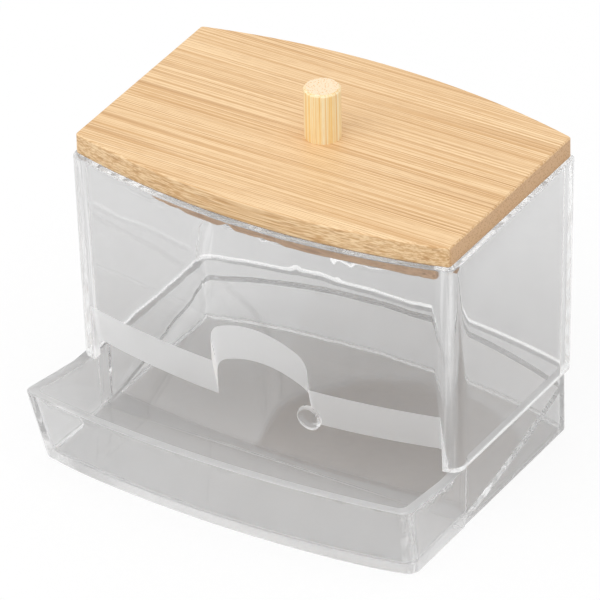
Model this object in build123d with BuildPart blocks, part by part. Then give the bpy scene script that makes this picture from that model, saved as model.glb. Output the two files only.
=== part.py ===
from build123d import *
from math import asin, cos, degrees, sin, sqrt
import os

# Clear cotton swab box with a bamboo lift-off lid.
# Millimetres. X runs along the width, Y from the front to the back, Z up from the table.
# The origin lies on the table, under the middle of the whole box.

# Bamboo lid
LID_W = 115.0            # width of the board
LID_MID_D = 78.4         # depth of the board on its centre line
BOW_SAG = 7.6            # how far the front and back edges bow out
LID_T = 6.2              # thickness of the board
LID_CORNER_R = 1.2
LID_EASE = 0.4           # sanded edges
PLUG_INSET = 4.8         # step from the board's edge to the plug's
PLUG_T = 6.8
PLUG_CORNER_R = 3.0
PLUG_EASE = 0.5
KNOB_D = 10.0
KNOB_H = 15.0
KNOB_EASE = 0.6

# Screw through plug and board into the knob
SCREW_SHANK_D = 3.2
SCREW_HEAD_D = 7.0
SCREW_HEAD_H = 2.8
SCREW_LENGTH = 22.0
SCREW_TIP_H = 3.0
SCREW_TIP_D = 0.8
SCREW_SINK = 0.3         # head below the plug's face
SCREW_CLEAR_D = 3.8      # hole through plug and board
HEAD_CLEAR = 0.2         # room around the head in its countersink
PILOT_D = 2.8            # hole in the knob, which the thread bites into
PILOT_DEPTH = 12.0
RECESS_L = 4.0           # cross recess in the head
RECESS_W = 0.9
RECESS_DEPTH = 1.4

# Clear sleeve, whose front and back lean in towards the foot
SLEEVE_W = 117.4
SLEEVE_TOP_D = 81.4      # depth on the centre line at the top
SLEEVE_FOOT_D = 75.9     # and at the foot
SLEEVE_TOP_Z = 84.2
SLEEVE_FOOT_Z = 19.8
SLEEVE_WALL = 2.4
SLEEVE_CORNER_R = 3.5
SLEEVE_INNER_R = 5.5     # the moulding is thick in its upright corners
SLEEVE_EASE = 0.4
LID_GAP = 0.2            # air under the resting lid

# Window and finger notch in the sleeve's front wall; heights are on its inner face
WINDOW_HALF_W = 54.2
WINDOW_TOP_Z = 25.2
NOTCH_X = 2.5            # the notch sits a little to the right
NOTCH_HALF_W = 14.8
NOTCH_TOP_Z = 39.9
NOTCH_RISE = 2.0         # how far its top arches up
NOTCH_CORNER_R = 3.6
CUT_SLOPE = 4.15         # height that the cut face gains per millimetre through the wall
CUT_REACH = 3.0          # the cutting shapes stand out this much on both faces
NUB_R = 3.6              # round bead on the tip beside the notch, where the mould was filled
NUB_T = 1.8
NUB_EASE = 0.6
NUB_X = 16.4
NUB_Z = 27.2

# Clear base
WALL = 2.5               # floor, skirt and ramp
PLINTH_HALF_W = 57.5     # skirt under the sleeve
PLINTH_D = 74.0          # depth the skirt would have if it were bowed in front too
PLINTH_CORNER_R = 4.0
PLINTH_WALL = 3.0
PLINTH_INNER_R = 1.6
TRAY_WALL = 3.1
TRAY_BOW_SAG = 6.0
TRAY_FOOT_HALF_W = 57.8
TRAY_FOOT_Y = -57.7      # middle of the front at the table, from the sleeve's middle
TRAY_RIM_HALF_W = 59.8
TRAY_RIM_BACK_HALF_W = 58.8
TRAY_RIM_Y = -64.5       # middle of the front at the rim, from the sleeve's middle
TRAY_RIM_Z = 24.7        # rim height at the middle of the front
TRAY_CORNER_R = 3.4
TRAY_INNER_R = 2.0
TRAY_ROOT = 1.4          # root between floor and walls
ROOT_KNEE = 0.4          # where the root's two flats meet, from floor and wall
TRAY_TRIM = 3.0          # walls are made this much too high, then cut to the sloping rim
TRAY_BACK_Y = -26.0      # back end of the tray's side walls, from the sleeve's middle
TRAY_HOLLOW_BACK_Y = -22.8   # inside, its wider walls end a little further back
SEAT_MARGIN = 1.6        # flat seat for the sleeve, ahead of its corners
RIM_EASE = 0.5
FOOT_EASE = 0.4

# Upper face of the ramp under the swabs, from the sleeve's middle
RAMP_LEAD_Y = -34.0      # the ramp's sheet starts inside the tray's floor
RAMP_START_Y = -27.4     # its front line, which bows forward
RAMP_START_SAG = 3.8
RAMP_MID_Y = 3.0
RAMP_MID_Z = 8.9
RAMP_END_Y = 35.4
RAMP_END_Z = 19.4
RAMP_BITE = 0.5          # how far the sheet runs into the walls

# Derived places
BIN_Y = (-TRAY_RIM_Y - SLEEVE_TOP_D / 2) / 2     # the sleeve's middle, behind the origin
LID_BOTTOM_Z = SLEEVE_TOP_Z + LID_GAP
LID_TOP_Z = LID_BOTTOM_Z + LID_T
PLUG_BOTTOM_Z = LID_BOTTOM_Z - PLUG_T
BOW_R = ((LID_W / 2) ** 2 + BOW_SAG ** 2) / (2 * BOW_SAG)
BIN_INNER_HALF_W = PLINTH_HALF_W - PLINTH_WALL
TRAY_TOP_Z = TRAY_RIM_Z + TRAY_TRIM
TRAY_BOW_R = (TRAY_RIM_HALF_W ** 2 + TRAY_BOW_SAG ** 2) / (2 * TRAY_BOW_SAG)


def bow_drop(half_w, bow_r):
    """How far a bowed edge falls back from its middle at the given half width."""
    return bow_r - sqrt(bow_r ** 2 - half_w ** 2)


def box_outline(height, half_w, mid_y, corner_r):
    """Plan outline with straight sides, bowed front and back, and round corners."""
    side_y = mid_y - bow_drop(half_w, BOW_R)
    with BuildSketch(Plane.XY.offset(height)) as outline:
        with BuildLine():
            ThreePointArc((-half_w, BIN_Y - side_y), (0, BIN_Y - mid_y), (half_w, BIN_Y - side_y))
            Line((half_w, BIN_Y - side_y), (half_w, BIN_Y + side_y))
            ThreePointArc((half_w, BIN_Y + side_y), (0, BIN_Y + mid_y), (-half_w, BIN_Y + side_y))
            Line((-half_w, BIN_Y + side_y), (-half_w, BIN_Y - side_y))
        make_face()
        fillet(outline.vertices(), corner_r)
    return outline.sketch


def half_outline(height, half_w, front_y, back_y, corner_r):
    """Plan outline with a straight front and the bowed back of the box."""
    side_y = back_y - bow_drop(half_w, BOW_R)
    with BuildSketch(Plane.XY.offset(height)) as outline:
        with BuildLine():
            Polyline((-half_w, BIN_Y + side_y), (-half_w, BIN_Y + front_y),
                     (half_w, BIN_Y + front_y), (half_w, BIN_Y + side_y))
            ThreePointArc((half_w, BIN_Y + side_y), (0, BIN_Y + back_y), (-half_w, BIN_Y + side_y))
        make_face()
        fillet(outline.vertices().group_by(Axis.Y)[-1], corner_r)
    return outline.sketch


def tray_outline(height, inset, back, corner_r):
    """Plan outline of the tray at a height, with its front and sides moved in by the inset."""
    share = height / TRAY_RIM_Z
    front_w = TRAY_FOOT_HALF_W + share * (TRAY_RIM_HALF_W - TRAY_FOOT_HALF_W) - inset
    back_w = TRAY_FOOT_HALF_W + share * (TRAY_RIM_BACK_HALF_W - TRAY_FOOT_HALF_W) - inset
    mid_y = BIN_Y + TRAY_FOOT_Y + share * (TRAY_RIM_Y - TRAY_FOOT_Y) + inset
    side_y = mid_y + bow_drop(front_w, TRAY_BOW_R)
    back_y = BIN_Y + back
    with BuildSketch(Plane.XY.offset(height)) as outline:
        with BuildLine():
            ThreePointArc((-front_w, side_y), (0, mid_y), (front_w, side_y))
            Polyline((front_w, side_y), (back_w, back_y), (-back_w, back_y), (-front_w, side_y))
        make_face()
        fillet(outline.vertices().group_by(Axis.Y)[0], corner_r)
    return outline.sketch


# Ramp: a bent sheet, turned about an upright axis far behind so that its front line bows
ramp_bow_r = (BIN_INNER_HALF_W ** 2 + RAMP_START_SAG ** 2) / (2 * RAMP_START_SAG)
ramp_axis_y = BIN_Y + RAMP_START_Y + ramp_bow_r
ramp_turn = asin((PLINTH_HALF_W + WALL) / (ramp_bow_r - RAMP_END_Y + RAMP_START_Y))
ramp_plane = Plane(
    origin=(0, ramp_axis_y, 0),
    x_dir=(-sin(ramp_turn), -cos(ramp_turn), 0),
    z_dir=(-cos(ramp_turn), sin(ramp_turn), 0),
)
ramp_lead = ramp_axis_y - BIN_Y - RAMP_LEAD_Y
ramp_start = ramp_axis_y - BIN_Y - RAMP_START_Y
ramp_mid = ramp_axis_y - BIN_Y - RAMP_MID_Y
ramp_end = ramp_axis_y - BIN_Y - RAMP_END_Y
with BuildPart() as ramp:
    with BuildSketch(ramp_plane):
        with BuildLine():
            ThreePointArc((ramp_start, WALL), (ramp_mid, RAMP_MID_Z), (ramp_end, RAMP_END_Z))
            Line((ramp_end, RAMP_END_Z), (ramp_end, RAMP_END_Z - WALL))
            ThreePointArc(
                (ramp_end, RAMP_END_Z - WALL), (ramp_mid, RAMP_MID_Z - WALL), (ramp_start, 0)
            )
            Polyline((ramp_start, 0), (ramp_lead, 0), (ramp_lead, WALL), (ramp_start, WALL))
        make_face()
    revolve(axis=Axis((0, ramp_axis_y, 0), (0, 0, 1)), revolution_arc=2 * degrees(ramp_turn))
    extrude(
        half_outline(0, BIN_INNER_HALF_W + RAMP_BITE, RAMP_LEAD_Y,
                     PLINTH_D / 2 - PLINTH_WALL + RAMP_BITE, PLINTH_INNER_R),
        amount=SLEEVE_FOOT_Z,
        mode=Mode.INTERSECT,
    )

# Hollow of the tray, with a two-step root where its walls meet the floor
with BuildPart() as tray_hollow:
    loft(
        [
            tray_outline(WALL, TRAY_WALL + TRAY_ROOT, TRAY_HOLLOW_BACK_Y, TRAY_INNER_R - TRAY_ROOT),
            tray_outline(WALL + ROOT_KNEE, TRAY_WALL + ROOT_KNEE, TRAY_HOLLOW_BACK_Y,
                         TRAY_INNER_R - ROOT_KNEE),
            tray_outline(WALL + TRAY_ROOT, TRAY_WALL, TRAY_HOLLOW_BACK_Y, TRAY_INNER_R),
            tray_outline(TRAY_TOP_Z, TRAY_WALL, TRAY_HOLLOW_BACK_Y, TRAY_INNER_R),
        ],
        ruled=True,
    )

# Base: tray, ramp and skirt in one clear moulding
sleeve_foot_side_y = SLEEVE_FOOT_D / 2 - bow_drop(SLEEVE_W / 2, BOW_R)
seat_y = BIN_Y - sleeve_foot_side_y - SEAT_MARGIN
rim_front_y = BIN_Y + TRAY_RIM_Y
rim_slope = (TRAY_RIM_Z - SLEEVE_FOOT_Z) / (seat_y - rim_front_y)
with BuildPart() as base_tray:
    loft(
        [
            tray_outline(0, 0, TRAY_BACK_Y, TRAY_CORNER_R),
            tray_outline(TRAY_TOP_Z, 0, TRAY_BACK_Y, TRAY_CORNER_R),
        ],
        ruled=True,
    )
    extrude(
        half_outline(0, PLINTH_HALF_W, TRAY_BACK_Y - WALL, PLINTH_D / 2, PLINTH_CORNER_R),
        amount=SLEEVE_FOOT_Z,
    )
    with BuildSketch(Plane.YZ):
        with BuildLine():
            Polyline(
                (BIN_Y, SLEEVE_FOOT_Z),
                (seat_y, SLEEVE_FOOT_Z),
                (rim_front_y - TRAY_TRIM, TRAY_RIM_Z + TRAY_TRIM * rim_slope),
                (rim_front_y - TRAY_TRIM, TRAY_TOP_Z + TRAY_TRIM),
                (BIN_Y, TRAY_TOP_Z + TRAY_TRIM),
                close=True,
            )
        make_face()
    extrude(amount=TRAY_RIM_HALF_W + TRAY_TRIM, both=True, mode=Mode.SUBTRACT)
    add(tray_hollow.part, mode=Mode.SUBTRACT)
    extrude(
        half_outline(0, BIN_INNER_HALF_W, TRAY_HOLLOW_BACK_Y - WALL, PLINTH_D / 2 - PLINTH_WALL,
                     PLINTH_INNER_R),
        amount=SLEEVE_FOOT_Z,
        mode=Mode.SUBTRACT,
    )
    add(ramp.part)
    rim = base_tray.faces().filter_by(GeomType.PLANE).sort_by(Axis.Z)[-1]
    chamfer(rim.edges().filter_by(GeomType.LINE, reverse=True), RIM_EASE)
    chamfer(base_tray.faces().filter_by(GeomType.PLANE).sort_by(Axis.Z)[0].outer_wire().edges(), FOOT_EASE)

# Window cutter: a slanted edge that follows the bow of the front wall
sleeve_lean = (SLEEVE_TOP_D - SLEEVE_FOOT_D) / 2 / (SLEEVE_TOP_Z - SLEEVE_FOOT_Z)
window_inner_y = -SLEEVE_FOOT_D / 2 + SLEEVE_WALL - sleeve_lean * (WINDOW_TOP_Z - SLEEVE_FOOT_Z)
window_axis_y = BIN_Y + window_inner_y - SLEEVE_WALL + BOW_R
window_in = BOW_R - SLEEVE_WALL - CUT_REACH
window_out = BOW_R + CUT_REACH
window_turn = asin(SLEEVE_W / 2 / window_in)
window_plane = Plane(
    origin=(0, window_axis_y, 0),
    x_dir=(-sin(window_turn), -cos(window_turn), 0),
    z_dir=(-cos(window_turn), sin(window_turn), 0),
)
window_foot_z = WINDOW_TOP_Z - CUT_SLOPE * CUT_REACH - WALL
with BuildPart() as window:
    with BuildSketch(window_plane):
        with BuildLine():
            Polyline(
                (window_in, WINDOW_TOP_Z - CUT_SLOPE * CUT_REACH),
                (window_out, WINDOW_TOP_Z + CUT_SLOPE * (SLEEVE_WALL + CUT_REACH)),
                (window_out, window_foot_z),
                (window_in, window_foot_z),
                close=True,
            )
        make_face()
    revolve(axis=Axis((0, window_axis_y, 0), (0, 0, 1)), revolution_arc=2 * degrees(window_turn))
    with BuildSketch(Plane.XZ.offset(-BIN_Y)):
        with Locations((0, SLEEVE_TOP_Z / 2)):
            Rectangle(2 * WINDOW_HALF_W, SLEEVE_TOP_Z)
    extrude(amount=SLEEVE_TOP_D, mode=Mode.INTERSECT)

# Bead at the notch, flush with the wall's inner face
nub_inner_y = -SLEEVE_FOOT_D / 2 + SLEEVE_WALL - sleeve_lean * (NUB_Z - SLEEVE_FOOT_Z)
nub_inner_y += bow_drop(NUB_X, BOW_R)
with BuildPart() as nub:
    with BuildSketch(Plane.XZ.offset(-BIN_Y - nub_inner_y)):
        with Locations((NUB_X, NUB_Z)):
            Circle(NUB_R)
    extrude(amount=NUB_T)
    chamfer(nub.edges().filter_by(GeomType.CIRCLE), NUB_EASE)

# Sleeve: upright walls round the swabs, open above and below
notch_inner_y = -SLEEVE_FOOT_D / 2 + SLEEVE_WALL - sleeve_lean * (NOTCH_TOP_Z - SLEEVE_FOOT_Z)
notch_inside_y = BIN_Y + notch_inner_y + CUT_REACH
notch_inside_z = NOTCH_TOP_Z - CUT_SLOPE * CUT_REACH
sleeve_ease_z = SLEEVE_TOP_Z - SLEEVE_EASE
sleeve_ease_half_d = SLEEVE_TOP_D / 2 - sleeve_lean * SLEEVE_EASE
notch_run = (SLEEVE_WALL + 2 * CUT_REACH) * sqrt(1 + CUT_SLOPE ** 2)
with BuildPart() as bin_shroud:
    loft(
        [
            box_outline(SLEEVE_FOOT_Z, SLEEVE_W / 2, SLEEVE_FOOT_D / 2, SLEEVE_CORNER_R),
            box_outline(sleeve_ease_z, SLEEVE_W / 2, sleeve_ease_half_d, SLEEVE_CORNER_R),
            box_outline(SLEEVE_TOP_Z, SLEEVE_W / 2 - SLEEVE_EASE, sleeve_ease_half_d - SLEEVE_EASE,
                        SLEEVE_CORNER_R - SLEEVE_EASE),
        ],
        ruled=True,
    )
    loft(
        [
            box_outline(SLEEVE_FOOT_Z, SLEEVE_W / 2 - SLEEVE_WALL, SLEEVE_FOOT_D / 2 - SLEEVE_WALL,
                        SLEEVE_INNER_R),
            box_outline(sleeve_ease_z, SLEEVE_W / 2 - SLEEVE_WALL, sleeve_ease_half_d - SLEEVE_WALL,
                        SLEEVE_INNER_R),
            box_outline(SLEEVE_TOP_Z, SLEEVE_W / 2 - SLEEVE_WALL + SLEEVE_EASE,
                        sleeve_ease_half_d - SLEEVE_WALL + SLEEVE_EASE, SLEEVE_INNER_R + SLEEVE_EASE),
        ],
        ruled=True,
        mode=Mode.SUBTRACT,
    )
    add(window.part, mode=Mode.SUBTRACT)
    with BuildSketch(Plane.XZ.offset(-notch_inside_y)) as notch:
        with BuildLine():
            ThreePointArc(
                (NOTCH_X - NOTCH_HALF_W, notch_inside_z - NOTCH_RISE),
                (NOTCH_X, notch_inside_z),
                (NOTCH_X + NOTCH_HALF_W, notch_inside_z - NOTCH_RISE),
            )
            Polyline(
                (NOTCH_X + NOTCH_HALF_W, notch_inside_z - NOTCH_RISE),
                (NOTCH_X + NOTCH_HALF_W, window_foot_z - SLEEVE_FOOT_Z),
                (NOTCH_X - NOTCH_HALF_W, window_foot_z - SLEEVE_FOOT_Z),
                (NOTCH_X - NOTCH_HALF_W, notch_inside_z - NOTCH_RISE),
            )
        make_face()
        fillet(notch.vertices().group_by(Axis.Z)[-1], NOTCH_CORNER_R)
    extrude(amount=notch_run, dir=(0, -1, CUT_SLOPE), mode=Mode.SUBTRACT)
    add(nub.part)

# Lid board
with BuildPart() as lid_board:
    extrude(box_outline(LID_BOTTOM_Z, LID_W / 2, LID_MID_D / 2, LID_CORNER_R), amount=LID_T)
    with Locations((0, BIN_Y, LID_TOP_Z)):
        Hole(SCREW_CLEAR_D / 2, depth=LID_T)
    chamfer(lid_board.faces().sort_by(Axis.Z)[-1].outer_wire().edges(), LID_EASE)
    chamfer(lid_board.faces().sort_by(Axis.Z)[0].outer_wire().edges(), LID_EASE)

# Plug under the board, with the countersunk hole for the screw
head_top_z = PLUG_BOTTOM_Z + SCREW_SINK
with BuildPart() as lid_plug:
    extrude(
        box_outline(PLUG_BOTTOM_Z, LID_W / 2 - PLUG_INSET, LID_MID_D / 2 - PLUG_INSET, PLUG_CORNER_R),
        amount=PLUG_T,
    )
    chamfer(lid_plug.faces().sort_by(Axis.Z)[0].edges(), PLUG_EASE)
    with BuildSketch(Plane(origin=(0, BIN_Y, 0), x_dir=(1, 0, 0), z_dir=(0, -1, 0))):
        with BuildLine():
            Polyline(
                (0, PLUG_BOTTOM_Z),
                (SCREW_HEAD_D / 2 + HEAD_CLEAR, PLUG_BOTTOM_Z),
                (SCREW_HEAD_D / 2 + HEAD_CLEAR, head_top_z),
                (SCREW_CLEAR_D / 2, head_top_z + SCREW_HEAD_H),
                (SCREW_CLEAR_D / 2, LID_BOTTOM_Z),
                (0, LID_BOTTOM_Z),
                close=True,
            )
        make_face()
    revolve(axis=Axis((0, BIN_Y, 0), (0, 0, 1)), mode=Mode.SUBTRACT)

# Knob
with BuildPart() as lid_knob:
    with BuildSketch(Plane.XY.offset(LID_TOP_Z)):
        with Locations((0, BIN_Y)):
            Circle(KNOB_D / 2)
            Circle(PILOT_D / 2, mode=Mode.SUBTRACT)
    extrude(amount=PILOT_DEPTH)
    with BuildSketch(Plane.XY.offset(LID_TOP_Z + PILOT_DEPTH)):
        with Locations((0, BIN_Y)):
            Circle(KNOB_D / 2)
    extrude(amount=KNOB_H - PILOT_DEPTH)
    chamfer(lid_knob.edges().sort_by(Axis.Z)[-1], KNOB_EASE)

# Countersunk screw, driven upward from beneath
with BuildPart() as knob_screw:
    with BuildSketch(Plane(origin=(0, BIN_Y, 0), x_dir=(1, 0, 0), z_dir=(0, -1, 0))):
        with BuildLine():
            Polyline(
                (0, head_top_z),
                (SCREW_HEAD_D / 2, head_top_z),
                (SCREW_SHANK_D / 2, head_top_z + SCREW_HEAD_H),
                (SCREW_SHANK_D / 2, head_top_z + SCREW_LENGTH - SCREW_TIP_H),
                (SCREW_TIP_D / 2, head_top_z + SCREW_LENGTH),
                (0, head_top_z + SCREW_LENGTH),
                close=True,
            )
        make_face()
    revolve(axis=Axis((0, BIN_Y, 0), (0, 0, 1)))
    with BuildSketch(Plane.XY.offset(head_top_z)):
        with Locations((0, BIN_Y)):
            Rectangle(RECESS_L, RECESS_W)
            Rectangle(RECESS_W, RECESS_L)
    extrude(amount=RECESS_DEPTH, mode=Mode.SUBTRACT)

base_tray.part.label = "base_tray"
bin_shroud.part.label = "bin_shroud"
lid_board.part.label = "lid_board"
lid_plug.part.label = "lid_plug"
lid_knob.part.label = "lid_knob"
knob_screw.part.label = "knob_screw"

os.makedirs("parts", exist_ok=True)
export_step(base_tray.part, "parts/base_tray.step")
export_step(bin_shroud.part, "parts/bin_shroud.step")
export_step(lid_board.part, "parts/lid_board.step")
export_step(lid_plug.part, "parts/lid_plug.step")
export_step(lid_knob.part, "parts/lid_knob.step")
export_step(knob_screw.part, "parts/knob_screw.step")
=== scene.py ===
import logging
import math
from dataclasses import dataclass
from enum import Enum
from typing import Sequence, Union

import bpy
from mathutils import Matrix, Vector


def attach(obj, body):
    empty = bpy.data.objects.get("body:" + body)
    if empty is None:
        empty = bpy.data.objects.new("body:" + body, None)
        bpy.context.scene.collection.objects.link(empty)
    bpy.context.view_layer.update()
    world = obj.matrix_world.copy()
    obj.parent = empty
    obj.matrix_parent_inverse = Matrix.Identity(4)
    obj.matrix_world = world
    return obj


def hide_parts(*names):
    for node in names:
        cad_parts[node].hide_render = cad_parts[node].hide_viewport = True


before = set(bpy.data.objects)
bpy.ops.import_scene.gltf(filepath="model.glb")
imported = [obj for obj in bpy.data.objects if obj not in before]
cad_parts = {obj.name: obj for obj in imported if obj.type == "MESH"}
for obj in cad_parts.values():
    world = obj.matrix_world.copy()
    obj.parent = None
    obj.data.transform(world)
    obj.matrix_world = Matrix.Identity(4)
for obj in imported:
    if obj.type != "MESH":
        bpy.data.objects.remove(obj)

# Cotton swab box: a clear bin with a bamboo lid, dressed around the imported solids.
# Metres, Z up, in the frame of the solids; the box stands on z = 0 and its front looks to -Y.

log = logging.getLogger("swab_box")

Socket = bpy.types.NodeSocket
Colour = tuple[float, float, float]
Place = tuple[float, float, float]
Span = tuple[float, float]
Plug = Union[Socket, float, Sequence[float]]

MM = 0.001
BIN_MIDDLE = Vector((0.0, 11.9 * MM, 0.0))   # the middle of the bin and lid, on the table
MERGE_REACH = 0.002 * MM
ROUNDED_UP_TO = math.radians(50)   # steeper edges of the clear mouldings stay crisp
LARGE_FACES_FIRST = 90      # how far the large faces rule the shading of the edges
CUT_LEAN = (-0.35, -0.14)   # how far the faces of the slanted cut look down
LOOKING_UP = 0.95           # from here on a face counts as level
LID_SEAT_Z = 84.0 * MM      # the sleeve's top face lies just above this
WHITE = (1.0, 1.0, 1.0)
BLACK = (0.0, 0.0, 0.0)
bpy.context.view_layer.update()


class GrainAxis(Enum):
    """The way a bamboo piece's fibres run, as the turn that brings them along X."""

    WIDTH = (0.0, 0.0, 0.0)
    UPRIGHT = (0.0, math.pi / 2, 0.0)


class Maths(Enum):
    """The sums that the materials use."""

    ADD = "ADD"
    SUBTRACT = "SUBTRACT"
    TIMES = "MULTIPLY"
    MOST = "MAXIMUM"
    LEAST = "MINIMUM"
    SIZE = "ABSOLUTE"


@dataclass
class NodeDesk:
    """Places and wires the nodes of one material, world or group.

    Args:
        tree: the node tree that is worked on.
    """

    tree: bpy.types.NodeTree

    def add(self, kind: str, **values: object) -> bpy.types.Node:
        """Adds a node.

        Args:
            kind: Blender's name of the node.
            values: properties of the node.

        Returns:
            The new node.
        """
        node = self.tree.nodes.new(kind)
        for name, value in values.items():
            setattr(node, name, value)
        return node

    def feed(self, target: Socket, value: Plug) -> None:
        """Wires a socket to the target, or sets the target's own value.

        Args:
            target: the input socket.
            value: an output socket, a number or a row of numbers.
        """
        if isinstance(value, bpy.types.NodeSocket):
            self.tree.links.new(value, target)
        else:
            target.default_value = value

    def sums(self, what: Maths, first: Plug, second: Plug = 0.0, clamp: bool = False) -> Socket:
        """Works out a sum of two values.

        Args:
            what: the sum.
            first: the first value.
            second: the second value.
            clamp: whether the result is kept between 0 and 1.

        Returns:
            The socket with the result.
        """
        node = self.add("ShaderNodeMath", operation=what.value, use_clamp=clamp)
        self.feed(node.inputs[0], first)
        self.feed(node.inputs[1], second)
        return node.outputs[0]

    def blend(self, share: Plug, first: Plug, second: Plug, mode: str = "MIX") -> Socket:
        """Mixes two colours.

        Args:
            share: how much of the second colour there is.
            first: the first colour.
            second: the second colour.
            mode: Blender's name of the way they mix.

        Returns:
            The socket with the mixed colour.
        """
        node = self.add("ShaderNodeMix", data_type="RGBA", blend_type=mode)
        self.feed(node.inputs["Factor"], share)
        self.feed(node.inputs["A"], solid(first))
        self.feed(node.inputs["B"], solid(second))
        return node.outputs["Result"]

    def all_of(self, first: Socket, *more: Socket) -> Socket:
        """Multiplies masks.

        Args:
            first: the first mask.
            more: the others.

        Returns:
            The socket with the mask that is 1 where all of them are.
        """
        for mask in more:
            first = self.sums(Maths.TIMES, first, mask)
        return first

    def highest(self, first: Socket, *more: Socket) -> Socket:
        """Takes the highest of several values.

        Args:
            first: the first value.
            more: the others.

        Returns:
            The socket with the highest.
        """
        for value in more:
            first = self.sums(Maths.MOST, first, value)
        return first

    def stretch(self, where: Socket, scale: Place, move: Place = (0, 0, 0),
                turn: Place = (0, 0, 0)) -> Socket:
        """Stretches, turns and moves a position.

        Args:
            where: the position.
            scale: the factor along each axis.
            move: what is added after it.
            turn: the turn in radians.

        Returns:
            The socket with the new position.
        """
        node = self.add("ShaderNodeMapping")
        self.feed(node.inputs["Vector"], where)
        node.inputs["Scale"].default_value = scale
        node.inputs["Location"].default_value = move
        node.inputs["Rotation"].default_value = turn
        return node.outputs["Vector"]

    def between(self, value: Socket, low: float, high: float, start: float = 0.0, end: float = 1.0) -> Socket:
        """Turns a range of values smoothly into another.

        Args:
            value: what is turned.
            low: where the range begins.
            high: where it ends.
            start: the result at its beginning.
            end: the result at its end.

        Returns:
            The socket with the result.
        """
        node = self.add("ShaderNodeMapRange", interpolation_type="SMOOTHSTEP")
        self.feed(node.inputs["Value"], value)
        for name, number in (("From Min", low), ("From Max", high), ("To Min", start), ("To Max", end)):
            node.inputs[name].default_value = number
        return node.outputs["Result"]

    def fading(self, value: Socket, low: float, high: float) -> Socket:
        """Makes a mask that is 1 below the first value and 0 above the second."""
        return self.between(value, low, high, 1.0, 0.0)

    def bump(self, height: Socket, strength: float, depth: float) -> Socket:
        """Turns a height into a normal.

        Args:
            height: the height, from 0 to 1.
            strength: how strongly it shows.
            depth: the depth in metres between 0 and 1.

        Returns:
            The socket with the normal.
        """
        node = self.add("ShaderNodeBump")
        node.inputs["Strength"].default_value = strength
        node.inputs["Distance"].default_value = depth
        self.feed(node.inputs["Height"], height)
        return node.outputs["Normal"]

    def group(self, shared: bpy.types.NodeTree, **values: Plug) -> bpy.types.Node:
        """Places a shared group.

        Args:
            shared: the group.
            values: what its inputs get, by name with _ for a space.

        Returns:
            The node of the group.
        """
        node = self.add("ShaderNodeGroup", node_tree=shared)
        for name, value in values.items():
            self.feed(node.inputs[name.replace("_", " ")], value)
        return node


def solid(colour: Plug) -> Plug:
    """Gives a plain colour its fourth value and leaves a socket or number as it is."""
    if isinstance(colour, (tuple, list)) and len(colour) == 3:
        return (*colour, 1.0)
    return colour


def shared_group(
        name: str, inputs: dict[str, float], outputs: Sequence[str], vectors: Sequence[str] = ("Position",),
) -> tuple[NodeDesk, bpy.types.Node, bpy.types.Node]:
    """Starts a node group that several materials share.

    Args:
        name: its name.
        inputs: its number inputs with their usual values.
        outputs: the names of its number outputs.
        vectors: the names of its vector inputs.

    Returns:
        Its desk, its input node and its output node.
    """
    tree = bpy.data.node_groups.new(name, "ShaderNodeTree")
    for label in vectors:
        tree.interface.new_socket(label, in_out="INPUT", socket_type="NodeSocketVector")
    for label, value in inputs.items():
        number = tree.interface.new_socket(label, in_out="INPUT", socket_type="NodeSocketFloat")
        number.default_value = value
    for label in outputs:
        tree.interface.new_socket(label, in_out="OUTPUT", socket_type="NodeSocketFloat")
    desk = NodeDesk(tree)
    return desk, desk.add("NodeGroupInput"), desk.add("NodeGroupOutput")


@dataclass(frozen=True)
class Waves:
    """One layer of noise.

    Args:
        along: waves per metre along X, Y and Z.
        detail: how many finer layers it has.
        rough: how strong the finer layers are.
        warp: how far it is distorted.
        turn: how the position is turned first, in radians.
    """

    along: Place
    detail: float = 2.0
    rough: float = 0.5
    warp: float = 0.0
    turn: Place = (0.0, 0.0, 0.0)

    def lay(self, desk: NodeDesk, where: Socket) -> Socket:
        """Adds the layer.

        Args:
            desk: the desk it is added on.
            where: the position it reads.

        Returns:
            The socket with the value, about 0.5 in the mean.
        """
        node = desk.add("ShaderNodeTexNoise", noise_dimensions="3D")
        desk.feed(node.inputs["Vector"], desk.stretch(where, self.along, turn=self.turn))
        for name, value in (("Scale", 1.0), ("Detail", self.detail), ("Roughness", self.rough),
                            ("Distortion", self.warp)):
            node.inputs[name].default_value = value
        return node.outputs["Fac"]


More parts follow.
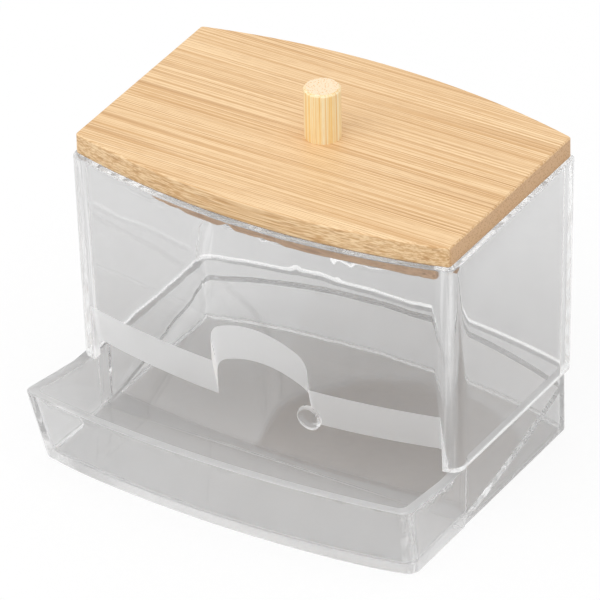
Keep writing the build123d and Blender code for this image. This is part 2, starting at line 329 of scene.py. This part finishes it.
@dataclass(frozen=True)
class BambooGrain:
    """The shared pattern of bamboo that runs along X: fibres, streaks and pores."""

    streak: Waves = Waves((6, 1700, 1700), 3.0, 0.62, 0.1)
    fine: Waves = Waves((12, 3600, 3600), 2.0, 0.5)
    band: Waves = Waves((5, 150, 90), 2.0, 0.45, 0.3)
    fibre: Waves = Waves((9, 1500, 1500), 1.0, 0.4)
    pore: Place = (180, 1700, 1700)
    fine_share: float = 0.5
    streak_span: Span = (0.40, 0.60)
    band_span: Span = (0.3, 0.7)
    fibre_span: Span = (0.59, 0.68)
    pore_span: Span = (0.22, 0.42)
    pore_depth: float = 0.5    # beside the fibres'
    sunk: float = 0.6          # how deep the fibres lie beside the streaks

    def build(self) -> bpy.types.NodeTree:
        """Makes the group, with Streak, Band, Fibre, Pore and Height from 0 to 1.

        Returns:
            The group.
        """
        outputs = ("Streak", "Band", "Fibre", "Pore", "Height")
        desk, given, made = shared_group("bamboo_grain", {"Seed": 0.0}, outputs)
        shift = desk.add("ShaderNodeCombineXYZ")
        desk.feed(shift.inputs["X"], given.outputs["Seed"])
        desk.feed(shift.inputs["Z"], given.outputs["Seed"])
        moved = desk.add("ShaderNodeVectorMath", operation="ADD")
        desk.feed(moved.inputs[0], given.outputs["Position"])
        desk.feed(moved.inputs[1], shift.outputs[0])
        place = moved.outputs[0]
        pore = desk.add("ShaderNodeTexVoronoi", feature="F1", distance="EUCLIDEAN")
        desk.feed(pore.inputs["Vector"], desk.stretch(place, self.pore))
        pore.inputs["Scale"].default_value = 1.0
        streaks = desk.sums(Maths.ADD,
                            desk.sums(Maths.TIMES, self.streak.lay(desk, place), 1.0 - self.fine_share),
                            desk.sums(Maths.TIMES, self.fine.lay(desk, place), self.fine_share))
        lines = desk.between(self.fibre.lay(desk, place), *self.fibre_span)
        dots = desk.fading(pore.outputs["Distance"], *self.pore_span)
        low = desk.highest(lines, desk.sums(Maths.TIMES, dots, self.pore_depth))
        height = desk.sums(Maths.SUBTRACT, streaks, desk.sums(Maths.TIMES, low, self.sunk), True)
        desk.feed(made.inputs["Streak"], desk.between(streaks, *self.streak_span))
        desk.feed(made.inputs["Band"], desk.between(self.band.lay(desk, place), *self.band_span))
        desk.feed(made.inputs["Fibre"], lines)
        desk.feed(made.inputs["Pore"], dots)
        desk.feed(made.inputs["Height"], height)
        return desk.tree


@dataclass(frozen=True)
class HandlingMarks:
    """The shared haze and hairline scratches that wiping leaves, and the waviness of a moulding."""

    haze: Waves = Waves((70, 70, 70), 4.0, 0.6, 0.4)
    wave: Waves = Waves((38, 38, 38), 0.0, 0.0)
    scratches: tuple[Waves, Waves] = (
        Waves((90, 1900, 1900), 0.0, 0.0, 0.6, (0.3, 0.5, 0.9)),
        Waves((2100, 110, 2100), 0.0, 0.0, 0.6, (0.2, 0.7, 0.4)),
    )
    haze_span: Span = (0.35, 0.75)
    scratch_span: Span = (0.78, 0.84)

    def build(self) -> bpy.types.NodeTree:
        """Makes the group, with Haze, Scratch and Wave from 0 to 1.

        Returns:
            The group.
        """
        desk, given, made = shared_group("handling_marks", {"Size": 1.0}, ("Haze", "Scratch", "Wave"))
        scaled = desk.add("ShaderNodeVectorMath", operation="SCALE")
        desk.feed(scaled.inputs[0], given.outputs["Position"])
        desk.feed(scaled.inputs["Scale"], given.outputs["Size"])
        place = scaled.outputs[0]
        lines = [desk.between(layer.lay(desk, place), *self.scratch_span) for layer in self.scratches]
        desk.feed(made.inputs["Haze"], desk.between(self.haze.lay(desk, place), *self.haze_span))
        desk.feed(made.inputs["Scratch"], desk.highest(*lines))
        desk.feed(made.inputs["Wave"], self.wave.lay(desk, place))
        return desk.tree


@dataclass(frozen=True)
class MouldedEdges:
    """The shared masks of the clear mouldings' rims, corners, foot and cut faces, and of painted glow lines
    in the corners.

    A span whose name ends in turn is read from the face's normal; the places are in metres.
    """

    corner_turn: Span = (0.34, 0.55)
    level_turn: Span = (0.90, 0.96)
    eased_from_turn: Span = (0.32, 0.45)
    eased_to_turn: Span = (0.86, 0.93)
    below_lid: Span = (60 * MM, 70 * MM)
    at_foot: Span = (0.6 * MM, 1.2 * MM)
    at_rim: Span = (19.5 * MM, 19.7 * MM)
    to_back: Span = (-20 * MM, 0.0)
    front_foot: float = 0.3      # how strong the foot's mask, with its roughness and its painted shade, is in front
    cut_from_turn: Span = (0.12, 0.18)
    cut_to_turn: Span = (0.30, 0.40)
    behind_tray_front: Span = (-36 * MM, -34 * MM)
    jamb_turn: Span = (0.85, 0.95)
    within_sleeve: Span = (55.0 * MM, 55.4 * MM)
    above_rim: Span = (19.7 * MM, 20.2 * MM)
    corner_glow_lines: Waves = Waves((1100, 1100, 7), 1.0, 0.5)     # painted bright lines in the corners, which only glow, in place of highlights
    corner_glow_span: Span = (0.50, 0.64)
    cloud: Waves = Waves((110, 60, 30), 2.0, 0.5, 0.8)     # unevenness of the cut faces, in their roughness and in their painted glow
    cloud_span: Span = (0.3, 0.7)
    cloud_low: float = 0.8

    def build(self) -> bpy.types.NodeTree:
        """Makes the group, with Corner, Flow, Ease, Rim, Foot and Cut from 0 to 1.

        Returns:
            The group.
        """
        outputs = ("Corner", "Flow", "Ease", "Rim", "Foot", "Cut")
        desk, given, made = shared_group("moulded_edges", {}, outputs, ("Position", "Facing"))
        where = given.outputs["Position"]
        facing = desk.add("ShaderNodeSeparateXYZ")
        desk.feed(facing.inputs[0], given.outputs["Facing"])
        place = desk.add("ShaderNodeSeparateXYZ")
        desk.feed(place.inputs[0], where)
        across, depth, up = (desk.sums(Maths.SIZE, facing.outputs[axis]) for axis in "XYZ")
        down = desk.sums(Maths.TIMES, facing.outputs["Z"], -1.0)
        beside = desk.sums(Maths.SIZE, place.outputs["X"])
        back, height = place.outputs["Y"], place.outputs["Z"]
        level = desk.between(up, *self.level_turn)
        eased = desk.all_of(desk.between(up, *self.eased_from_turn), desk.fading(up, *self.eased_to_turn))
        below_lid = desk.fading(height, *self.below_lid)
        low = desk.fading(height, *self.at_foot)
        corner = desk.between(desk.sums(Maths.LEAST, across, depth), *self.corner_turn)
        slant = desk.all_of(desk.between(down, *self.cut_from_turn), desk.fading(down, *self.cut_to_turn),
                            desk.between(back, *self.behind_tray_front))
        jamb = desk.all_of(desk.between(across, *self.jamb_turn), desk.fading(beside, *self.within_sleeve),
                           desk.between(height, *self.above_rim))
        masks = {
            "Corner": corner,
            "Flow": desk.all_of(corner, desk.between(self.corner_glow_lines.lay(desk, where), *self.corner_glow_span)),
            "Ease": desk.all_of(eased, desk.sums(Maths.SUBTRACT, below_lid, low, True)),
            "Rim": desk.all_of(level, desk.between(height, *self.at_rim), below_lid),
            "Foot": desk.all_of(desk.highest(level, eased), low,
                                desk.between(back, *self.to_back, self.front_foot, 1.0)),
            "Cut": desk.all_of(desk.highest(slant, jamb), desk.between(
                self.cloud.lay(desk, where), *self.cloud_span, self.cloud_low, 1.0)),
        }
        for name, mask in masks.items():
            desk.feed(made.inputs[name], mask)
        return desk.tree


def new_material(name: str) -> tuple[bpy.types.Material, NodeDesk, bpy.types.Node, bpy.types.Node]:
    """Starts a material.

    Args:
        name: its name.

    Returns:
        The material, its desk, its output node and its Principled shader.
    """
    material = bpy.data.materials.new(name)
    material.use_nodes = True
    desk = NodeDesk(material.node_tree)
    desk.tree.nodes.clear()
    output = desk.add("ShaderNodeOutputMaterial")
    surface = desk.add("ShaderNodeBsdfPrincipled")
    desk.feed(output.inputs["Surface"], surface.outputs["BSDF"])
    return material, desk, output, surface


@dataclass(frozen=True)
class ClearPlastic:
    """Clear moulded acrylic, slightly wavy, with the haze and hairlines of use, frosted edges, and a painted
    glow on its edges, cut faces and corner lines that stands in for their highlights.
    """

    marks: bpy.types.NodeTree
    edges: bpy.types.NodeTree
    name: str = "clear_acrylic"
    tint: Colour = (0.985, 0.985, 0.985)
    tint_worn: Colour = (0.965, 0.965, 0.965)
    # painted shade: the foot's faces, and what shows through them, are darkened by this colour, more towards
    # the back
    foot_painted_shade: Colour = (0.70, 0.70, 0.70)
    edge_roughness_and_painted_glow: tuple[tuple[str, float, float], ...] = (     # mask, roughness and painted glow (emission standing in for highlights)
        ("Corner", 0.22, 0.01),
        ("Flow", 0.0, 0.11),
        ("Ease", 0.28, 0.05),
        ("Rim", 0.28, 0.06),
        ("Foot", 0.6, 0.0),
        ("Cut", 0.5, 0.125),
    )
    ior: float = 1.49
    polish: Span = (0.004, 0.05)
    haze_share: float = 0.35
    wave_strength: float = 0.06
    wave_depth: float = 0.00012
    shadow: Colour = (0.905, 0.905, 0.905)   # what each face lets through to the shadow

    def build(self) -> bpy.types.Material:
        """Makes the material.

        Returns:
            The material.
        """
        material, desk, output, surface = new_material(self.name)
        where = desk.add("ShaderNodeTexCoord").outputs["Object"]
        worn = desk.group(self.marks, Position=where, Size=1.0)
        flat = desk.add("ShaderNodeNewGeometry").outputs["True Normal"]
        edge = desk.group(self.edges, Position=where, Facing=flat)
        haze = desk.highest(desk.sums(Maths.TIMES, worn.outputs["Haze"], self.haze_share),
                            worn.outputs["Scratch"])
        rough = [desk.between(haze, 0.0, 1.0, *self.polish)]
        glow = []
        for name, edge_rough, painted_edge_glow in self.edge_roughness_and_painted_glow:
            rough.append(desk.sums(Maths.TIMES, edge.outputs[name], edge_rough))
            glow.append(desk.sums(Maths.TIMES, edge.outputs[name], painted_edge_glow))
        tint = desk.blend(worn.outputs["Haze"], self.tint, self.tint_worn)
        # painted shade at the foot, darker towards the back
        desk.feed(surface.inputs["Base Color"], desk.blend(edge.outputs["Foot"], tint, self.foot_painted_shade))
        desk.feed(surface.inputs["Roughness"], desk.highest(*rough))
        # painted light: the emission makes corners, eased edges, rims, cut faces and corner lines glow in
        # place of highlights
        desk.feed(surface.inputs["Emission Color"], desk.blend(desk.highest(*glow), BLACK, WHITE))
        surface.inputs["Emission Strength"].default_value = 1.0
        material.cycles.emission_sampling = "NONE"
        desk.feed(surface.inputs["Normal"],
                  desk.bump(worn.outputs["Wave"], self.wave_strength, self.wave_depth))
        surface.inputs["IOR"].default_value = self.ior
        surface.inputs["Transmission Weight"].default_value = 1.0
        lit = desk.add("ShaderNodeLightPath")
        through = desk.add("ShaderNodeBsdfTransparent")
        through.inputs["Color"].default_value = solid(self.shadow)
        either = desk.add("ShaderNodeMixShader")
        desk.feed(either.inputs[0], lit.outputs["Is Shadow Ray"])
        desk.feed(either.inputs[1], surface.outputs["BSDF"])
        desk.feed(either.inputs[2], through.outputs["BSDF"])
        desk.feed(output.inputs["Surface"], either.outputs[0])
        return material


@dataclass(frozen=True)
class Bamboo:
    """Sanded bamboo under a thin satin lacquer."""

    grain: bpy.types.NodeTree
    marks: bpy.types.NodeTree
    name: str
    pale: Colour
    deep: Colour
    fibre: Colour
    end: Colour
    axis: GrainAxis = GrainAxis.WIDTH
    seed: float = 0.0
    streak_share: float = 0.82
    fibre_share: float = 0.5
    dash_share: float = 0.16
    pore_share: float = 0.7
    polish: Span = (0.42, 0.6)
    worn_share: float = 0.5        # how much of the roughness comes from wear and not from fibres
    relief: float = 0.00006
    relief_strength: float = 0.5
    end_turn: Span = (0.6, 0.95)   # how far a face looks along the fibres where end grain begins
    shine: float = 0.35

    def build(self) -> bpy.types.Material:
        """Makes the material.

        Returns:
            The material.
        """
        material, desk, _, surface = new_material(self.name)
        where = desk.add("ShaderNodeTexCoord").outputs["Object"]
        along = desk.stretch(where, (1, 1, 1), turn=self.axis.value)
        grain = desk.group(self.grain, Position=along, Seed=self.seed)
        worn = desk.group(self.marks, Position=where, Size=1.0)
        facing = desk.add("ShaderNodeSeparateXYZ")
        desk.feed(facing.inputs[0], desk.add("ShaderNodeNewGeometry").outputs["Normal"])
        across = "Z" if self.axis is GrainAxis.UPRIGHT else "X"
        cut = desk.between(desk.sums(Maths.SIZE, facing.outputs[across]), *self.end_turn)
        tone = desk.sums(Maths.ADD, desk.sums(Maths.TIMES, grain.outputs["Streak"], self.streak_share),
                         desk.sums(Maths.TIMES, grain.outputs["Band"], 1.0 - self.streak_share), True)
        face = desk.blend(tone, self.deep, self.pale)
        for name, share in (("Fibre", self.fibre_share), ("Pore", self.dash_share)):
            face = desk.blend(desk.sums(Maths.TIMES, grain.outputs[name], share), face, self.fibre)
        pores = desk.sums(Maths.TIMES, grain.outputs["Pore"], self.pore_share)
        butt = desk.blend(pores, self.end, self.fibre)
        desk.feed(surface.inputs["Base Color"], desk.blend(cut, face, butt))
        rough = desk.sums(Maths.ADD, desk.sums(Maths.TIMES, worn.outputs["Haze"], self.worn_share),
                          desk.sums(Maths.TIMES, grain.outputs["Fibre"], 1.0 - self.worn_share))
        desk.feed(surface.inputs["Roughness"], desk.between(rough, 0.0, 1.0, *self.polish))
        desk.feed(surface.inputs["Normal"],
                  desk.bump(grain.outputs["Height"], self.relief_strength, self.relief))
        surface.inputs["Specular IOR Level"].default_value = self.shine
        return material


@dataclass(frozen=True)
class TurnedSteel:
    """Zinc-plated steel with the fine rings of turning round an upright axis."""

    marks: bpy.types.NodeTree
    axis: Vector
    name: str = "screw_zinc"
    bright: Colour = (0.66, 0.66, 0.67)
    dull: Colour = (0.42, 0.42, 0.44)
    polish: Span = (0.24, 0.42)
    tone_span: Span = (0.2, 0.8)
    rings: Waves = Waves((9000, 9000, 9000), 2.0, 0.6)
    ring_share: float = 0.6
    ring_strength: float = 0.2
    ring_depth: float = 0.00002
    marks_size: float = 6.0

    def build(self) -> bpy.types.Material:
        """Makes the material.

        Returns:
            The material.
        """
        material, desk, _, surface = new_material(self.name)
        where = desk.add("ShaderNodeTexCoord").outputs["Object"]
        centred = desk.stretch(where, (1, 1, 0), move=tuple(-v for v in self.axis))
        reach = desk.add("ShaderNodeVectorMath", operation="LENGTH")
        desk.feed(reach.inputs[0], centred)
        ring_place = desk.add("ShaderNodeCombineXYZ")
        desk.feed(ring_place.inputs["X"], reach.outputs["Value"])
        rings = self.rings.lay(desk, ring_place.outputs[0])
        worn = desk.group(self.marks, Position=where, Size=self.marks_size)
        tone = desk.sums(Maths.ADD, desk.sums(Maths.TIMES, rings, self.ring_share),
                         desk.sums(Maths.TIMES, worn.outputs["Haze"], 1.0 - self.ring_share))
        desk.feed(surface.inputs["Base Color"], desk.blend(tone, self.bright, self.dull))
        desk.feed(surface.inputs["Roughness"], desk.between(tone, *self.tone_span, *self.polish))
        desk.feed(surface.inputs["Normal"], desk.bump(rings, self.ring_strength, self.ring_depth))
        surface.inputs["Metallic"].default_value = 1.0
        return material


def seen_straight(desk: NodeDesk) -> Socket:
    """Tells where the surroundings are seen by the camera or in a reflection.

    Args:
        desk: the desk of the floor's material or of the world.

    Returns:
        The socket with 1 there and 0 for light and for what shows through the plastic.
    """
    path = desk.add("ShaderNodeLightPath")
    bent = path.outputs["Is Transmission Ray"]     # which Blender counts as glossy too
    mirrored = desk.sums(Maths.SUBTRACT, path.outputs["Is Glossy Ray"], bent, True)
    return desk.highest(path.outputs["Is Camera Ray"], mirrored)


@dataclass(frozen=True)
class PalePaper:
    """The studio's pale paper, white where it is seen straight or in a shine."""

    name: str = "pale_paper"
    seen: Colour = (0.97, 0.97, 0.97)
    through: Colour = (0.72, 0.72, 0.72)
    white_share: float = 0.86
    fleck: Waves = Waves((400, 400, 400), 3.0, 0.6)
    fleck_span: Span = (0.2, 0.8)
    fleck_tone: Span = (0.97, 1.0)

    def build(self) -> bpy.types.Material:
        """Makes the material.

        Returns:
            The material.
        """
        material = bpy.data.materials.new(self.name)
        material.use_nodes = True
        desk = NodeDesk(material.node_tree)
        desk.tree.nodes.clear()
        output = desk.add("ShaderNodeOutputMaterial")
        direct = seen_straight(desk)
        where = desk.add("ShaderNodeTexCoord").outputs["Object"]
        fleck = desk.between(self.fleck.lay(desk, where), *self.fleck_span, *self.fleck_tone)
        paper = desk.add("ShaderNodeBsdfDiffuse")
        plain = desk.blend(direct, self.through, self.seen)
        desk.feed(paper.inputs["Color"], desk.blend(1.0, plain, fleck, "MULTIPLY"))
        glow = desk.add("ShaderNodeEmission")
        glow.inputs["Color"].default_value = solid(WHITE)
        glow.inputs["Strength"].default_value = 1.0
        either = desk.add("ShaderNodeMixShader")
        desk.feed(either.inputs[0], desk.sums(Maths.TIMES, direct, self.white_share))
        desk.feed(either.inputs[1], paper.outputs[0])
        desk.feed(either.inputs[2], glow.outputs[0])
        desk.feed(output.inputs["Surface"], either.outputs[0])
        return material


def dress(piece: bpy.types.Object, material: bpy.types.Material) -> None:
    """Puts a material in every slot of a piece.

    Args:
        piece: the piece.
        material: its material.
    """
    if not piece.material_slots:
        piece.data.materials.append(material)
    for place in piece.material_slots:
        place.material = material
    log.info("%s is dressed in %s", piece.name, material.name)


def has_crisp_border(face: bpy.types.MeshPolygon) -> bool:
    """Tells whether a face is part of the slanted cut round the window, or of the lid's seat."""
    slanted = CUT_LEAN[0] < face.normal.z < CUT_LEAN[1] and face.normal.y < 0.0
    return slanted or (face.normal.z > LOOKING_UP and face.center.z > LID_SEAT_Z)


def take_over(node: str, name: str, body: str) -> bpy.types.Object:
    """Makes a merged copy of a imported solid, with edges that shade as if they were rounded.

    Args:
        node: the solid that the copy stands for.
        name: the name of the copy.
        body: the body that it rides on.

    Returns:
        The copy.
    """
    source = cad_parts[node]
    piece = bpy.data.objects.new(name, source.data.copy())
    bpy.context.scene.collection.objects.link(piece)
    bpy.ops.object.select_all(action="DESELECT")
    piece.select_set(True)
    bpy.context.view_layer.objects.active = piece
    bpy.ops.mesh.customdata_custom_splitnormals_clear()
    bpy.ops.object.mode_set(mode="EDIT")
    bpy.ops.mesh.select_all(action="SELECT")
    bpy.ops.mesh.remove_doubles(threshold=MERGE_REACH)
    bpy.ops.mesh.select_all(action="DESELECT")
    bpy.ops.object.mode_set(mode="OBJECT")
    bpy.ops.object.shade_smooth_by_angle(angle=ROUNDED_UP_TO)
    for face in piece.data.polygons:
        face.select = has_crisp_border(face)
    bpy.ops.object.mode_set(mode="EDIT")
    bpy.ops.mesh.select_mode(type="FACE")
    bpy.ops.mesh.region_to_loop()
    bpy.ops.mesh.mark_sharp()
    bpy.ops.mesh.select_mode(type="VERT")
    bpy.ops.object.mode_set(mode="OBJECT")
    even = piece.modifiers.new("even_faces", "WEIGHTED_NORMAL")
    even.mode, even.weight, even.keep_sharp = "FACE_AREA", LARGE_FACES_FIRST, True
    bpy.ops.object.modifier_apply(modifier=even.name)
    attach(piece, body)
    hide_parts(node)
    return piece


@dataclass
class ClearBin:
    """The clear base with its tray, and the clear sleeve that stands on it."""

    plastic: ClearPlastic
    base: str = "base_tray"
    sleeve: str = "bin_shroud"

    def build(self) -> None:
        """Takes over both mouldings and dresses them."""
        plastic = self.plastic.build()
        for name in (self.base, self.sleeve):
            dress(take_over(name, f"clear_{name}", "bin"), plastic)


@dataclass
class BambooLid:
    """The lid: board, plug, knob and the screw that holds them together."""

    board: Bamboo
    plug: Bamboo
    knob: Bamboo
    screw: TurnedSteel

    def build(self) -> None:
        """Dresses the lid's pieces."""
        for name, finish in (("lid_board", self.board), ("lid_plug", self.plug),
                             ("lid_knob", self.knob), ("knob_screw", self.screw)):
            dress(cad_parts[name], finish.build())


@dataclass(frozen=True)
class Lamp:
    """One soft lamp of the studio."""

    name: str
    place: Place
    width: float
    height: float
    power: float
    aim: Place = (0.0, 0.0, 0.04)
    colour: Colour = WHITE

    def hang(self) -> None:
        """Adds the lamp, turned towards its aim and unseen by the camera and through the plastic."""
        data = bpy.data.lights.new(self.name, "AREA")
        data.shape = "RECTANGLE"
        data.size, data.size_y = self.width, self.height
        data.energy = self.power
        data.color = self.colour
        lamp = bpy.data.objects.new(self.name, data)
        lamp.location = self.place
        ahead = Vector(self.aim) - Vector(self.place)
        lamp.rotation_euler = ahead.to_track_quat("-Z", "Y").to_euler()
        lamp.visible_camera = False
        lamp.visible_transmission = False
        bpy.context.scene.collection.objects.link(lamp)


@dataclass
class Studio:
    """The paper floor, the white surroundings and the lamps."""

    paper: PalePaper
    lamps: Sequence[Lamp]
    floor_size: float = 14.0
    floor_drop: float = 0.05 * MM      # so that the floor and the box's foot don't share a face
    light: float = 0.80
    seen_through: float = 0.72
    seen_overhead: float = 1.3
    overhead_turn: Span = (0.45, 0.75)
    bounces: int = 96
    clear_faces: int = 64

    def lay_floor(self) -> None:
        """Lays the paper under the box."""
        bpy.ops.object.select_all(action="DESELECT")
        bpy.ops.mesh.primitive_plane_add(size=self.floor_size, location=(0, 0, -self.floor_drop))
        floor = bpy.context.active_object
        floor.name = "paper_floor"
        floor.data.materials.append(self.paper.build())

    def set_world(self) -> None:
        """Makes the surroundings white to the eye and plain light to the box."""
        world = bpy.data.worlds.new("studio")
        world.use_nodes = True
        bpy.context.scene.world = world
        desk = NodeDesk(world.node_tree)
        desk.tree.nodes.clear()
        path = desk.add("ShaderNodeLightPath")
        white = seen_straight(desk)
        aim = desk.add("ShaderNodeSeparateXYZ")
        desk.feed(aim.inputs[0], desk.add("ShaderNodeTexCoord").outputs["Generated"])
        overhead = desk.between(aim.outputs["Z"], *self.overhead_turn)
        through = desk.blend(overhead, (self.seen_through,) * 3, (self.seen_overhead,) * 3)
        level = desk.blend(path.outputs["Is Transmission Ray"], (self.light,) * 3, through)
        background = desk.add("ShaderNodeBackground")
        desk.feed(background.inputs["Color"], desk.blend(white, level, WHITE))
        output = desk.add("ShaderNodeOutputWorld")
        desk.feed(output.inputs["Surface"], background.outputs[0])

    def let_light_through(self) -> None:
        """Lets light pass through as many clear walls and edges as the box has in a row."""
        cycles = bpy.context.scene.cycles
        cycles.max_bounces = self.bounces
        cycles.glossy_bounces = self.bounces
        cycles.transmission_bounces = self.bounces
        cycles.transparent_max_bounces = self.clear_faces

    def build(self) -> None:
        """Sets up the studio."""
        self.let_light_through()
        self.lay_floor()
        self.set_world()
        for lamp in self.lamps:
            lamp.hang()
        log.info("studio with %d lamps", len(self.lamps))


@dataclass(frozen=True)
class ViewPoint:
    """The camera at the photograph's angle, far away with a long lens."""

    azimuth: float = 32.008      # degrees to the right of the box's front
    elevation: float = 32.860
    roll: float = -1.2745
    right: float = 7.77 * MM     # where the bin's middle lies beside the middle of the picture
    up: float = -32.474 * MM
    reach: float = 2425.29 * MM
    lens: float = 539.957
    film: float = 36.0
    near: float = 0.1
    far: float = 50.0

    def build(self) -> None:
        """Adds the camera and makes it the scene's."""
        turn, lift, tilt = (math.radians(v) for v in (self.azimuth, self.elevation, self.roll))
        flat = math.cos(lift)
        ahead = Vector((-math.sin(turn) * flat, math.cos(turn) * flat, -math.sin(lift)))
        side = Vector((math.cos(turn), math.sin(turn), 0.0))
        over = side.cross(ahead)
        level = side * math.cos(tilt) + over * math.sin(tilt)
        rise = over * math.cos(tilt) - side * math.sin(tilt)
        data = bpy.data.cameras.new("photo_view")
        data.lens, data.sensor_width = self.lens, self.film
        data.clip_start, data.clip_end = self.near, self.far
        camera = bpy.data.objects.new("photo_view", data)
        spot = BIN_MIDDLE - level * self.right - rise * self.up - ahead * self.reach
        facing = Matrix((level, rise, -ahead)).transposed().to_4x4()
        camera.matrix_world = Matrix.Translation(spot) @ facing
        bpy.context.scene.collection.objects.link(camera)
        bpy.context.scene.camera = camera


def main() -> None:
    """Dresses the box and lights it."""
    logging.basicConfig(level=logging.INFO, format="%(name)s: %(message)s")
    bpy.context.scene.view_settings.view_transform = "Standard"
    marks, grain = HandlingMarks().build(), BambooGrain().build()
    ClearBin(ClearPlastic(marks, MouldedEdges().build())).build()
    BambooLid(
        board=Bamboo(
            grain, marks, "bamboo_lid_board",
            pale=(0.95, 0.70, 0.42), deep=(0.65, 0.38, 0.165),
            fibre=(0.46, 0.23, 0.085), end=(0.70, 0.44, 0.235),
        ),
        plug=Bamboo(
            grain, marks, "bamboo_lid_plug",
            pale=(0.84, 0.56, 0.35), deep=(0.68, 0.42, 0.24),
            fibre=(0.40, 0.20, 0.09), end=(0.58, 0.34, 0.18), seed=0.37,
        ),
        knob=Bamboo(
            grain, marks, "bamboo_knob",
            pale=(1.0, 0.93, 0.68), deep=(0.97, 0.67, 0.26),
            fibre=(0.82, 0.44, 0.12), end=(0.93, 0.75, 0.53), axis=GrainAxis.UPRIGHT, seed=0.71,
        ),
        screw=TurnedSteel(marks, BIN_MIDDLE),
    ).build()
    Studio(
        paper=PalePaper(),
        lamps=(
            Lamp("key_box", (-0.55, -1.0, 1.35), 1.1, 1.1, 6.0),
            Lamp("top_box", (0.3, -0.3, 1.4), 1.2, 1.2, 4.2),
        ),
    ).build()
    ViewPoint().build()


if __name__ == "__main__":
    main()
